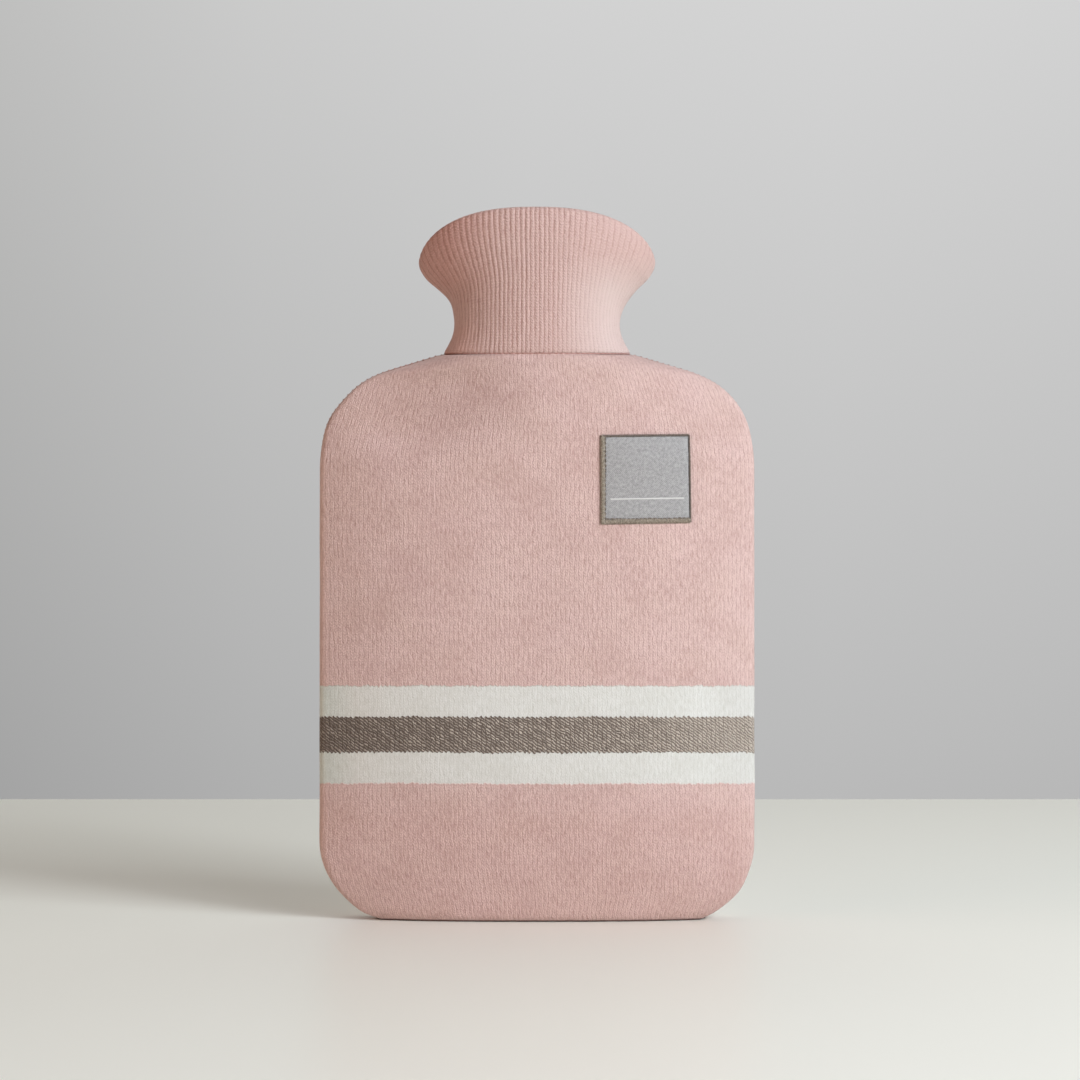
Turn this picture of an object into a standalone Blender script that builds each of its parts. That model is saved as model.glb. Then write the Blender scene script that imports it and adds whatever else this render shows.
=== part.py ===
"""A knitted hot water bottle cover, standing on its base and filled out to its shape in use.

Metres. The front faces -Y, +X is to the right seen from the front, and Z is 0 at the base.
The cover is hollow: a front and a back panel joined round the sides and under the base, a
ribbed neck whose open top is hemmed to the inside, and a small label with an edging.
"""

import math
from collections import namedtuple

import bmesh
import bpy

MM = 0.001

# Body: seen from the front, straight sides that turn in to the base below and to the neck above.
BODY_WIDTH = 205 * MM
CORNER_START = 36 * MM          # below this height the sides turn in to the base
SHOULDER_START = 211.8 * MM     # above this height they turn in to the neck
SIDE_DEPTH = 0.34               # the depth at the body's sides, as a share of its middle's
SHOULDER_DEPTH = 0.2            # the same at the shoulders
BASE_DEPTH = 0.51               # and at the base
BASE_REACH = 75 * MM            # the base's share fades out by this height
SIDE_CURVE = 2.75               # 2 loses depth in a parabola; more loses it nearer the sides
SHOULDER_CURVES = (1.4, 2.05)   # the same for the shoulders, left and right
SIDE_ROUND = 90                 # more turns the sides in more sharply
RIDGE_SHARE = 0.56              # the neck goes on down the shoulders as a ridge, of this share
RIDGE_START = 0.42              # the share of the shoulders at which it starts
RIDGE_MIDDLE = 3 * MM
RIDGE_WIDTHS = (75 * MM, 68 * MM)    # to its left and to its right
TOP_START = 0.72                # above this share of the shoulders they turn into the neck's oval
TOP_FULLNESS = 2.1              # 2 is an ellipse
LEFT_TUCK = 0.022               # the lower left corner turns in a little more than the right one
TUCK_REACH = 24 * MM
BODY_POINTS = 56                # points round one body section
CORNER_LEVELS = [0, 1.2 * MM, 3.5 * MM, 7 * MM, 12 * MM, 18 * MM, 25 * MM, CORNER_START]
SIDE_LEVELS = 5
SHOULDER_LEVELS = [rise * MM for rise in (0, 12, 20, 27, 33, 38, 41.5, 44.5, 47.5, 51)]

# The arcs that an outline turns through, one after the other, from the straight side: each goes
# on at its radius until the outline slopes by its angle, which is 0 where it is level.
Turn = namedtuple("Turn", "slope radius")
SHOULDER_TURNS = [
    Turn(math.radians(77), 80 * MM),
    Turn(math.radians(27), 36 * MM),
    Turn(math.radians(16.6), 70 * MM),
]
CORNER_TURNS = [
    Turn(math.radians(52), 34 * MM),
    Turn(math.radians(30), 70 * MM),
]

# Cloth
KNIT_THICKNESS = 2.5 * MM
PIECE_GAP = 0.3 * MM            # between one piece and the next

# Neck
SEAM_WIDTH = 87.8 * MM          # the neck's seam, across its two sides
SEAM_DIP = 1.2 * MM             # the seam is this much lower at front and back than at the sides
NECK_FULLNESS = 2.1
RIM_FULLNESS = 2.5              # of the arch of the rim seen from the front
RIM_NOTCH = 0.12                # softens the notch where the two arches meet at the sides
ARCH_LEAN = 0.045               # the arches' tops lie this share of the way to the left side
LEFT_DRAW = 0.036               # the waist is drawn in a little more at its left
DRAW_RISE = 25 * MM             # most at this rise above the seam
DRAW_REACH = 5.5 * MM
RIBS = 100
RIB_DEPTH = 0.7 * MM
HEM_ROLL = 2.2 * MM             # radius of the fold at the neck's top edge
FOLD_TURNS = [math.radians(angle) for angle in (50, 100, 150)]
HEM_COURSES = 3                 # the hem reaches down the inside by this many courses

# Label
LABEL_WIDTH = 42 * MM
LABEL_HEIGHT = 41.5 * MM
LABEL_CENTRE_X = 50 * MM
LABEL_CENTRE_Z = 206.5 * MM
LABEL_THICKNESS = 1.0 * MM
EDGING_WIDTH = 2.0 * MM
EDGING_THICKNESS = 1.5 * MM
LABEL_STEPS = 8

# The body's fullness from its base up to the neck.
Fullness = namedtuple("Fullness", "height half_depth")
BODY_FULLNESS = [
    Fullness(0 * MM, 14.6 * MM),
    Fullness(1.2 * MM, 15.9 * MM),
    Fullness(4 * MM, 17.1 * MM),
    Fullness(10 * MM, 18.3 * MM),
    Fullness(30 * MM, 21.8 * MM),
    Fullness(70 * MM, 25.5 * MM),
    Fullness(115 * MM, 25.7 * MM),
    Fullness(160 * MM, 25.2 * MM),
    Fullness(195 * MM, 24.5 * MM),
    Fullness(222 * MM, 24.9 * MM),
    Fullness(243 * MM, 25.4 * MM),
    Fullness(256 * MM, 25.7 * MM),
    Fullness(268 * MM, 25.0 * MM),
]

# The neck's courses, with their rise above its seam. Front and back rise in an arch above the sides.
Course = namedtuple("Course", "side_rise half_width front_rise half_depth")
NECK_COURSES = [
    Course(0 * MM, 44.3 * MM, 0 * MM, 25.4 * MM),
    Course(4.6 * MM, 41.6 * MM, 5.8 * MM, 25.8 * MM),
    Course(9.6 * MM, 39.6 * MM, 12.8 * MM, 26.5 * MM),
    Course(15.4 * MM, 39.2 * MM, 20.8 * MM, 27.4 * MM),
    Course(20.9 * MM, 40.8 * MM, 28.8 * MM, 28.5 * MM),
    Course(25.9 * MM, 43.8 * MM, 36.8 * MM, 29.9 * MM),
    Course(30.4 * MM, 47.6 * MM, 44.8 * MM, 31.5 * MM),
    Course(34.9 * MM, 52.2 * MM, 52.8 * MM, 33.1 * MM),
    Course(39.4 * MM, 55.1 * MM, 59.8 * MM, 34.1 * MM),
    Course(42.6 * MM, 55.9 * MM, 64.6 * MM, 34.3 * MM),
]


def clear_scene():
    for thing in list(bpy.data.objects):
        bpy.data.objects.remove(thing, do_unlink=True)


def cloth_material(name, colour, roughness):
    """A plain cloth material. The colour is linear red, green and blue."""
    material = bpy.data.materials.new(name)
    material.use_nodes = True
    shader = material.node_tree.nodes["Principled BSDF"]
    shader.inputs["Base Color"].default_value = (*colour, 1.0)
    shader.inputs["Roughness"].default_value = roughness
    shader.inputs["Metallic"].default_value = 0.0
    material.diffuse_color = (*colour, 1.0)
    return material


def add_piece(name, bm, material):
    bmesh.ops.recalc_face_normals(bm, faces=bm.faces)
    mesh = bpy.data.meshes.new(name)
    bm.to_mesh(mesh)
    bm.free()
    mesh.materials.append(material)
    mesh.shade_smooth()
    mesh.set_sharp_from_angle(angle=math.radians(40))
    piece = bpy.data.objects.new(name, mesh)
    bpy.context.collection.objects.link(piece)
    return piece


def bridge(lower, upper, bm):
    """Quads between two rings of vertices that run the same way round."""
    count = len(lower)
    for i in range(count):
        following = (i + 1) % count
        bm.faces.new((lower[i], lower[following], upper[following], upper[i]))


def smooth_through(rows, height):
    """The half depth at a height, on a smooth curve through the rows of a fullness table."""
    row = 0
    while row < len(rows) - 2 and height > rows[row + 1].height:
        row += 1
    near = [rows[max(row - 1, 0)], rows[row], rows[row + 1], rows[min(row + 2, len(rows) - 1)]]
    span = near[2].height - near[1].height
    share = min(max((height - near[1].height) / span, 0.0), 1.0)
    slopes = [
        (after.half_depth - before.half_depth) / (after.height - before.height) * span
        for before, after in ((near[0], near[2]), (near[1], near[3]))
    ]
    low, high = near[1].half_depth, near[2].half_depth
    bend = (1 - share) * slopes[0] - share * slopes[1]
    swing = (1 - 2 * share) * (high - low)
    return low + share * (high - low) + share * (1 - share) * (bend - swing)


def body_half_width(height, inset):
    """The body's outline seen from the front, moved inwards by inset all along it."""
    if height > SHOULDER_START:
        turns, along = SHOULDER_TURNS, height - SHOULDER_START
    else:
        turns, along = CORNER_TURNS, CORNER_START - height
    half_width = BODY_WIDTH / 2 - inset
    if along <= 0:
        return half_width
    reached, slope = 0.0, math.pi / 2
    for turn in turns:
        radius = turn.radius - inset
        centre = half_width - radius * math.sin(slope)
        centre_along = reached - radius * math.cos(slope)
        half_width = centre + radius * math.sin(turn.slope)
        reached = centre_along + radius * math.cos(turn.slope)
        slope = turn.slope
        if along < reached:
            return centre + math.sqrt(radius**2 - (along - centre_along) ** 2)
    return half_width - (along - reached) / math.tan(slope)


def seam_height():
    """Height of the body's top edge at its sides, where the sloping shoulder meets the seam."""
    slope_end = SHOULDER_START + SHOULDER_LEVELS[-1]
    over = body_half_width(slope_end, 0) - SEAM_WIDTH / 2
    return slope_end + over * math.tan(SHOULDER_TURNS[-1].slope)


def shoulder_share(height):
    """0 up to where the shoulders start, and 1 at the neck's seam."""
    return min(max((height - SHOULDER_START) / (seam_height() - SHOULDER_START), 0.0), 1.0)


def eased(share):
    """0 to 1 as share goes from 0 to 1, level at both ends."""
    share = min(max(share, 0.0), 1.0)
    return share * share * (3 - 2 * share)


def body_depth(x, height, inset):
    """How far the front surface stands before the middle of the body at x, moved inwards by
    inset. The body is flat and full, with turned-in sides. Up its shoulders a ridge grows out
    of it, which turns into the neck's oval."""
    shoulder = shoulder_share(height)
    middle = smooth_through(BODY_FULLNESS, height)
    side = SIDE_DEPTH + (SHOULDER_DEPTH - SIDE_DEPTH) * eased(shoulder / 0.5)
    side += (BASE_DEPTH - SIDE_DEPTH) * eased(1 - height / BASE_REACH)
    right = eased(0.5 + x / (20 * MM))
    shoulder_curve = SHOULDER_CURVES[0] + (SHOULDER_CURVES[1] - SHOULDER_CURVES[0]) * right
    curve = SIDE_CURVE + (shoulder_curve - SIDE_CURVE) * eased(shoulder / 0.35)
    ridge = RIDGE_SHARE * eased((shoulder - RIDGE_START) / (1 - RIDGE_START))
    ridge_width = RIDGE_WIDTHS[0] if x < RIDGE_MIDDLE else RIDGE_WIDTHS[1]
    across = min(abs(x) / body_half_width(height, 0), 1.0)
    face = side + (1 - side - ridge) * (1 - across**curve)
    face += ridge * math.exp(-(((x - RIDGE_MIDDLE) / ridge_width) ** 2))
    across = min(abs(x) / body_half_width(height, inset), 1.0)
    flat = (face * middle - inset) * math.sqrt(1 - across**SIDE_ROUND)
    oval = (middle - inset) * (1 - across**TOP_FULLNESS) ** (1 / TOP_FULLNESS)
    return flat + (oval - flat) * eased((shoulder - TOP_START) / (1 - TOP_START))


def body_section(height, inset, bm):
    """A ring of vertices round the body. Near the seam it dips at the front and back."""
    half_width = body_half_width(height, inset)
    dip = SEAM_DIP * shoulder_share(height) ** 6
    ring = []
    for i in range(BODY_POINTS):
        turn = 2 * math.pi * i / BODY_POINTS
        front = math.sin(turn)
        x = half_width * math.cos(turn)
        y = math.copysign(body_depth(x, height, inset), front)
        if x < 0:
            x *= 1 - LEFT_TUCK * eased(1 - height / TUCK_REACH)
        ring.append(bm.verts.new((x, y, height - dip * abs(front))))
    return ring


def body_heights(lowest, highest):
    """Heights of the sections, closer together where the outline turns."""
    side = SHOULDER_START - CORNER_START
    sides = [CORNER_START + side * step / SIDE_LEVELS for step in range(1, SIDE_LEVELS)]
    shoulders = [SHOULDER_START + rise for rise in SHOULDER_LEVELS]
    between = [z for z in CORNER_LEVELS + sides + shoulders if lowest < z < highest]
    return [lowest] + between + [highest]


def body_shell():
    """The whole body as one hollow cup: outer wall, top edge, inner wall and a flat double base."""
    bm = bmesh.new()
    top = seam_height()
    inner_top = top - KNIT_THICKNESS * math.cos(SHOULDER_TURNS[-1].slope)
    outer = [body_section(z, 0, bm) for z in body_heights(0, top)]
    inner = [body_section(z, KNIT_THICKNESS, bm) for z in body_heights(KNIT_THICKNESS, inner_top)]
    rings = outer + inner[::-1]
    for lower, upper in zip(rings, rings[1:]):
        bridge(lower, upper, bm)
    bm.faces.new(outer[0])
    bm.faces.new(inner[0])
    bmesh.ops.recalc_face_normals(bm, faces=bm.faces)
    return bm


def body_panel(name, side, material):
    """Half of the shell: side is -1 for the front panel and 1 for the back panel."""
    bm = body_shell()
    bmesh.ops.bisect_plane(
        bm,
        geom=bm.verts[:] + bm.edges[:] + bm.faces[:],
        plane_co=(0, side * PIECE_GAP / 2, 0),
        plane_no=(0, side, 0),
        clear_inner=True,
    )
    cut = [edge for edge in bm.edges if edge.is_boundary]
    bmesh.ops.holes_fill(bm, edges=cut, sides=0)
    return add_piece(name, bm, material)


def neck_quarter(half_width, half_depth):
    """Close points along a quarter of the neck's section, from the middle of the front to the
    side, and how far along the section each one is."""
    fine = 200
    track = []
    for i in range(fine + 1):
        turn = math.pi / 2 * i / fine
        track.append((
            half_width * math.sin(turn) ** (2 / NECK_FULLNESS),
            half_depth * max(math.cos(turn), 0.0) ** (2 / NECK_FULLNESS),
        ))
    run = [0.0]
    for before, after in zip(track, track[1:]):
        run.append(run[-1] + math.dist(before, after))
    return track, run


def middle_spacing(course):
    """The ribs keep the waist's spacing at the middle of every course, and spread out towards
    its sides. This is that spacing as a share of the course's mean spacing."""
    waist = min(NECK_COURSES, key=lambda row: row.half_width)
    around_waist = neck_quarter(waist.half_width, waist.half_depth)[1][-1]
    around = neck_quarter(course.half_width, course.half_depth)[1][-1]
    return min(around_waist / around, 1.0)


def rib_points(half_width, half_depth, spacing, steps):
    """Points spaced as the ribs are, along a quarter of the neck's section."""
    track, run = neck_quarter(half_width, half_depth)
    points = []
    at = 0
    for step in range(steps + 1):
        share = step / steps
        along = (spacing * share + (1 - spacing) * share**2) * run[-1]
        while at < len(run) - 2 and run[at + 1] < along:
            at += 1
        part = (along - run[at]) / (run[at + 1] - run[at])
        points.append(tuple(a + (b - a) * part for a, b in zip(track[at], track[at + 1])))
    return points


def rim_arch(across):
    """Share of the rim's rise, at a share of the way from its middle to its side."""
    height = math.sqrt(1 - min(abs(across), 1.0) ** RIM_FULLNESS)
    return (math.hypot(height, RIM_NOTCH) - RIM_NOTCH) / (math.hypot(1, RIM_NOTCH) - RIM_NOTCH)


def neck_ring(course, inset, lift, rib_depth, bm):
    """A ring of two points a rib round the neck, the second one sunk by rib_depth."""
    steps = RIBS // 2
    spacing = middle_spacing(course)
    crests, troughs = (
        rib_points(course.half_width - sunk, course.half_depth - sunk, spacing, steps)
        for sunk in (inset, inset + rib_depth)
    )
    side_height = seam_height() + PIECE_GAP + course.side_rise + lift
    rise = course.front_rise - SEAM_DIP - course.side_rise
    ring = []
    for i in range(4 * steps):
        quarter, step = divmod(i, steps)
        if quarter % 2:
            step = steps - step
        x, y = troughs[step] if i % 2 else crests[step]
        x = x if quarter < 2 else -x
        y = -y if quarter in (0, 3) else y
        across = x / (course.half_width - inset)
        across += ARCH_LEAN * (1 - across**2)
        if x < 0:
            x *= 1 - LEFT_DRAW * math.exp(-(((course.side_rise - DRAW_RISE) / DRAW_REACH) ** 2))
        ring.append(bm.verts.new((x, y, side_height + rise * rim_arch(across))))
    return ring


def ribbed_neck(material):
    """One ribbed tube: up the outside, over the fold, and down the inside of the hem to the seam."""
    bm = bmesh.new()
    rings = [neck_ring(course, 0, 0, RIB_DEPTH, bm) for course in NECK_COURSES]
    for turn in FOLD_TURNS:
        inset = HEM_ROLL * (1 - math.cos(turn))
        lift = HEM_ROLL * math.sin(turn)
        rings.append(neck_ring(NECK_COURSES[-1], inset, lift, RIB_DEPTH, bm))
    rings.append(neck_ring(NECK_COURSES[-HEM_COURSES], 2 * HEM_ROLL, 0, RIB_DEPTH, bm))
    for course in NECK_COURSES[-HEM_COURSES::-2] + NECK_COURSES[:1]:
        rings.append(neck_ring(course, KNIT_THICKNESS, 0, 0, bm))
    for lower, upper in zip(rings, rings[1:] + rings[:1]):
        bridge(lower, upper, bm)
    return add_piece("ribbed_neck", bm, material)


def on_front(bm, lift):
    """Lays a flat sheet drawn in X and Z on the front panel, lift away from it."""
    for vertex in bm.verts:
        vertex.co.y = -body_depth(vertex.co.x, vertex.co.z, 0) - lift


def label_sheet(width, height):
    bm = bmesh.new()
    bmesh.ops.create_grid(bm, x_segments=LABEL_STEPS, y_segments=LABEL_STEPS, size=0.5)
    for vertex in bm.verts:
        x = LABEL_CENTRE_X + vertex.co.x * width
        vertex.co = (x, 0, LABEL_CENTRE_Z + vertex.co.y * height)
    return bm


def thicken(bm, thickness):
    """Gives a sheet on the front its thickness, outwards."""
    made = bmesh.ops.extrude_face_region(bm, geom=bm.faces[:])
    for vertex in [item for item in made["geom"] if isinstance(item, bmesh.types.BMVert)]:
        vertex.co.y -= thickness


def woven_label(material):
    inside = 2 * (EDGING_WIDTH + PIECE_GAP)
    bm = label_sheet(LABEL_WIDTH - inside, LABEL_HEIGHT - inside)
    on_front(bm, PIECE_GAP)
    thicken(bm, LABEL_THICKNESS)
    return add_piece("label", bm, material)


def label_edging(material):
    """A frame of thread round the label: a sheet with its middle taken out."""
    bm = label_sheet(LABEL_WIDTH, LABEL_HEIGHT)
    middle = [
        face for face in bm.faces
        if all(not edge.is_boundary for vertex in face.verts for edge in vertex.link_edges)
    ]
    bmesh.ops.delete(bm, geom=middle, context="FACES")
    reach_x = LABEL_WIDTH / 2 - EDGING_WIDTH
    reach_z = LABEL_HEIGHT / 2 - EDGING_WIDTH
    cell = 1 / LABEL_STEPS
    for vertex in bm.verts:
        across = (vertex.co.x - LABEL_CENTRE_X) / LABEL_WIDTH
        up = (vertex.co.z - LABEL_CENTRE_Z) / LABEL_HEIGHT
        if max(abs(across), abs(up)) < 0.5 - cell / 2:
            vertex.co.x = LABEL_CENTRE_X + across / (0.5 - cell) * reach_x
            vertex.co.z = LABEL_CENTRE_Z + up / (0.5 - cell) * reach_z
    on_front(bm, PIECE_GAP)
    thicken(bm, EDGING_THICKNESS)
    return add_piece("label_edging", bm, material)


clear_scene()
pink_knit = cloth_material("dusty_pink_knit", (0.62, 0.40, 0.36), 0.9)
body_panel("front_panel", -1, pink_knit)
body_panel("back_panel", 1, pink_knit)
ribbed_neck(cloth_material("dusty_pink_rib", (0.60, 0.38, 0.34), 0.9))
woven_label(cloth_material("grey_woven_tape", (0.40, 0.40, 0.39), 0.8))
label_edging(cloth_material("taupe_thread", (0.25, 0.21, 0.17), 0.85))
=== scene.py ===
"""The looks of a knitted hot water bottle cover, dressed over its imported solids.

Metres. The front faces -Y, +X is to the right seen from the front, and the table is at Z = 0.
"""

import math
import random
from functools import partial

import bmesh
import bpy
import numpy as np
from mathutils import Matrix, Vector, noise
from mathutils.bvhtree import BVHTree


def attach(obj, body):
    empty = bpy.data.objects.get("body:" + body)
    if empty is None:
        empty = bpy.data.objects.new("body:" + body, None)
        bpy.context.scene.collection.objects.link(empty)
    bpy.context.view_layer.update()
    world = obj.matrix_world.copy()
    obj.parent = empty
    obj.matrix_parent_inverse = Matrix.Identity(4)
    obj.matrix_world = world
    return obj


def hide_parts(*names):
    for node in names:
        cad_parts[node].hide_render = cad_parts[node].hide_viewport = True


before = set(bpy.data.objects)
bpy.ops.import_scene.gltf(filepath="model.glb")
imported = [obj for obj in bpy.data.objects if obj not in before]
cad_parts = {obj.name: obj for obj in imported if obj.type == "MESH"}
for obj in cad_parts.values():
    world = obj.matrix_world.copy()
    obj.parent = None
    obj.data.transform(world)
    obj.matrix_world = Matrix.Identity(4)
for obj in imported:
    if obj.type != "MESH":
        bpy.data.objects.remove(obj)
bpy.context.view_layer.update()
MM = 0.001


# Camera: level with the middle of the cover, 1.3 m before it, with a long lens, so that the
# outline is seen almost without perspective and the far edge of the table is a level line.
CAMERA_PLACE = (1.4 * MM, -1300 * MM, 178.5 * MM)
SENSOR = 36.0
LENS = 91.7

camera_data = bpy.data.cameras.new("camera")
camera_data.sensor_width = SENSOR
camera_data.sensor_height = SENSOR
camera_data.lens = LENS
camera_data.clip_start = 0.05
camera = bpy.data.objects.new("camera", camera_data)
camera.location = CAMERA_PLACE
camera.rotation_euler = (math.pi / 2, 0, 0)
bpy.context.scene.collection.objects.link(camera)
bpy.context.scene.camera = camera
bpy.context.scene.view_settings.view_transform = "Standard"


# Body: a front and a back panel of fine plain knit in wool, washed until its surface felts a
# little. Three stripes are knitted in. The panels are sewn to each other round the sides and
# under the base, and each is one sheet that takes the bottle's shape.
BODY_WIDTH = 205 * MM
CORNER_START = 36 * MM
SHOULDER_START = 211.8 * MM
SHOULDER_RISE = 51 * MM
SIDE_DEPTH = 0.34           # the depth at the sides, as a share of the middle's
SHOULDER_DEPTH = 0.2        # the same at the shoulders
BASE_DEPTH = 0.51           # and at the base
BASE_REACH = 75 * MM
SIDE_CURVE = 2.75           # more keeps the front flat for longer before it falls to the sides
SHOULDER_CURVES = (1.4, 2.05)   # the same at the left and right shoulder
SIDE_ROUND = 170            # more turns the sides in more sharply
RIDGE_SHARE = 0.56          # the neck goes on down the shoulders as a ridge
RIDGE_START = 0.42          # from this share of the shoulders' height
RIDGE_MIDDLE = 3 * MM
RIDGE_WIDTHS = (75 * MM, 68 * MM)   # to its left and right
TOP_START = 0.72            # above this share of the shoulders they turn into the neck's oval
TOP_FULLNESS = 2.1
SIDE_TUCKS = [  # height, reach up, and how far the left and right side lie in or out, as shares
    (0, 2.4, -0.055, -0.025), (4, 16, -0.014, 0.0), (12, 7, 0.006, 0.018), (247, 9, -0.017, 0.0),
]
SHOULDER_TURNS = [  # the outline's arcs, each with its slope at the end, in degrees, and its radius
    (77, 80 * MM), (27, 36 * MM), (16.6, 70 * MM),
]
CORNER_TURNS = [(52, 34 * MM), (30, 70 * MM)]   # the same, down from the side to the base
BODY_FULLNESS = [  # height and half depth
    (0, 13.4), (0.5, 14.6), (1.2, 15.7), (2.4, 16.5), (4, 17.1), (10, 18.3), (30, 21.8),
    (70, 25.5), (115, 25.7), (160, 25.2), (195, 24.5), (222, 24.9), (243, 25.4), (256, 25.7),
    (268, 25.0),
]
SEAM_WIDTH = 87.8 * MM      # the neck seam's width
SEAM_DIP = 1.2 * MM         # and how much lower its middle lies
KNIT_THICKNESS = 2.3 * MM
PANEL_GAP = 0.3 * MM
PANEL_WIDTH = 236 * MM      # as cut
SEAM_COLUMNS = (0, 0.25, 0.55, 0.9, 1.3, 1.8, 2.5)   # the first places in from a side, in mm
PANEL_COLUMNS = 133
PANEL_ROWS = 150
BASE_ROWS = 9
NECK_LEAN = 0.17            # how much the wales lean in towards the neck, as a share
CORNER_LEAN = 0.08          # and towards the base at its corners
LEVEL_COURSE = 88 * MM      # the height at which the courses are level
COURSE_SAG = 0.0218         # how much lower they hang at the sides, for each metre below SAG_TOP
SAG_TOP = 178.5 * MM
SEAM_TUCK = 0.45 * MM       # how deep a sewn edge is drawn in
TUCK_REACH = 1.3 * MM       # how far from the edge that shows
NECK_SWELL = 0.35 * MM      # the cloth's swell below the neck seam
UNEVEN_DEPTH = 0.22         # the cloth's slow unevenness, in millimetres
UNEVEN_REACH = 26 * MM
SOFT_FOLDS = [  # where the cloth lies in or out a little: x, height, reach across and up, depth
    (-28, 253, 22, 9, 0.8),
    (-58, 229, 25, 22, 2.0),
    (5, 66, 70, 30, -1.3),
    (12, 256, 26, 6, 0.3),
    (58, 236, 22, 14, -0.5),
    (-66, 60, 20, 26, 0.4),
    (40, 150, 40, 30, -0.3),
    (-34, 26, 40, 14, 0.3),
]


def smooth_table(rows, at, column=1):
    """A smooth curve through one column of a table, read at the values of its first column."""
    x = np.array([row[0] for row in rows], float)
    y = np.array([row[column] for row in rows], float)
    slope = np.gradient(y, x)
    slope[1:-1] = (y[2:] - y[:-2]) / (x[2:] - x[:-2])
    k = np.clip(np.searchsorted(x, at, side="right") - 1, 0, len(x) - 2)
    span = x[k + 1] - x[k]
    t = np.clip((at - x[k]) / span, 0, 1)
    return (
        (2 * t**3 - 3 * t**2 + 1) * y[k] + (t**3 - 2 * t**2 + t) * span * slope[k]
        + (3 * t**2 - 2 * t**3) * y[k + 1] + (t**3 - t**2) * span * slope[k + 1]
    )


def body_half_width(height):
    """The body's outline seen from the front, from its arcs."""
    if height > SHOULDER_START:
        turns, along = SHOULDER_TURNS, height - SHOULDER_START
    else:
        turns, along = CORNER_TURNS, CORNER_START - height
    half_width = BODY_WIDTH / 2
    if along <= 0:
        return half_width
    reached, slope = 0.0, math.pi / 2
    for end_angle, radius in turns:
        end_slope = math.radians(end_angle)
        centre = half_width - radius * math.sin(slope)
        centre_along = reached - radius * math.cos(slope)
        half_width = centre + radius * math.sin(end_slope)
        reached = centre_along + radius * math.cos(end_slope)
        slope = end_slope
        if along < reached:
            return centre + math.sqrt(radius**2 - (along - centre_along) ** 2)
    return half_width - (along - reached) / math.tan(slope)


slope_top = SHOULDER_START + SHOULDER_RISE
last_slope = math.tan(math.radians(SHOULDER_TURNS[-1][0]))
seam_height = slope_top + (body_half_width(slope_top) - SEAM_WIDTH / 2) * last_slope


def eased(share):
    """0 to 1 as share goes from 0 to 1, level at both ends."""
    share = min(max(share, 0.0), 1.0)
    return share * share * (3 - 2 * share)


def body_front(x, height):
    """How far the front stands before the middle of the body at places x of one height."""
    shoulder = max(0.0, (height - SHOULDER_START) / (seam_height - SHOULDER_START))
    side = SIDE_DEPTH + (SHOULDER_DEPTH - SIDE_DEPTH) * eased(shoulder / 0.5)
    side += (BASE_DEPTH - SIDE_DEPTH) * eased(1 - height / BASE_REACH)
    right = np.clip(0.5 + x / (20 * MM), 0, 1)
    right = right**2 * (3 - 2 * right)
    shoulder_curve = SHOULDER_CURVES[0] + (SHOULDER_CURVES[1] - SHOULDER_CURVES[0]) * right
    curve = SIDE_CURVE + (shoulder_curve - SIDE_CURVE) * eased(shoulder / 0.35)
    ridge = RIDGE_SHARE * eased((shoulder - RIDGE_START) / (1 - RIDGE_START))
    across = np.minimum(np.abs(x) / body_half_width(height), 1)
    face = side + (1 - side - ridge) * (1 - across**curve)
    face += ridge * np.exp(-(((x - RIDGE_MIDDLE) / np.where(x < RIDGE_MIDDLE, *RIDGE_WIDTHS)) ** 2))
    flat = face * np.sqrt(1 - across**SIDE_ROUND)
    oval = (1 - across**TOP_FULLNESS) ** (1 / TOP_FULLNESS)
    share = flat + (oval - flat) * eased((shoulder - TOP_START) / (1 - TOP_START))
    return share * float(smooth_table(BODY_FULLNESS, height / MM)) * MM


def tucked(x, height):
    """Places x across the body at one height, with its corners and left shoulder drawn in."""
    left = right = 1.0
    for middle, reach, more_left, more_right in SIDE_TUCKS:
        near = math.exp(-(((height / MM - middle) / reach) ** 2))
        left, right = left + more_left * near, right + more_right * near
    return np.where(x < 0, x * left, x * right)


def run_along(places, axis=0):
    """The length run along rows of places, from the first to each."""
    steps = np.linalg.norm(np.diff(places, axis=axis), axis=-1)
    start = np.zeros_like(np.take(steps, [0], axis=axis))
    return np.concatenate([start, np.cumsum(steps, axis=axis)], axis=axis)


def even_rows(count):
    """Heights up the panel, evenly spaced along its curve from the base to the neck seam."""
    height = np.linspace(0, seam_height, 3000)
    width = np.array([body_half_width(z) for z in height])
    depth = smooth_table(BODY_FULLNESS, height / MM) * MM
    step = np.sqrt(np.diff(height) ** 2 + 0.5 * np.diff(width) ** 2 + np.diff(depth) ** 2)
    run = np.concatenate([[0], np.cumsum(step)])
    return np.interp(np.linspace(0, run[-1], count), run, height)


def even_columns():
    """Shares of the way from one side of a panel to the other, with closer ones at the seams."""
    near = np.array(SEAM_COLUMNS) * MM / PANEL_WIDTH
    middle = np.linspace(near[-1], 1 - near[-1], PANEL_COLUMNS - 2 * len(near) + 2)[1:-1]
    return np.concatenate([near, middle, 1 - near[::-1]])


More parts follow.
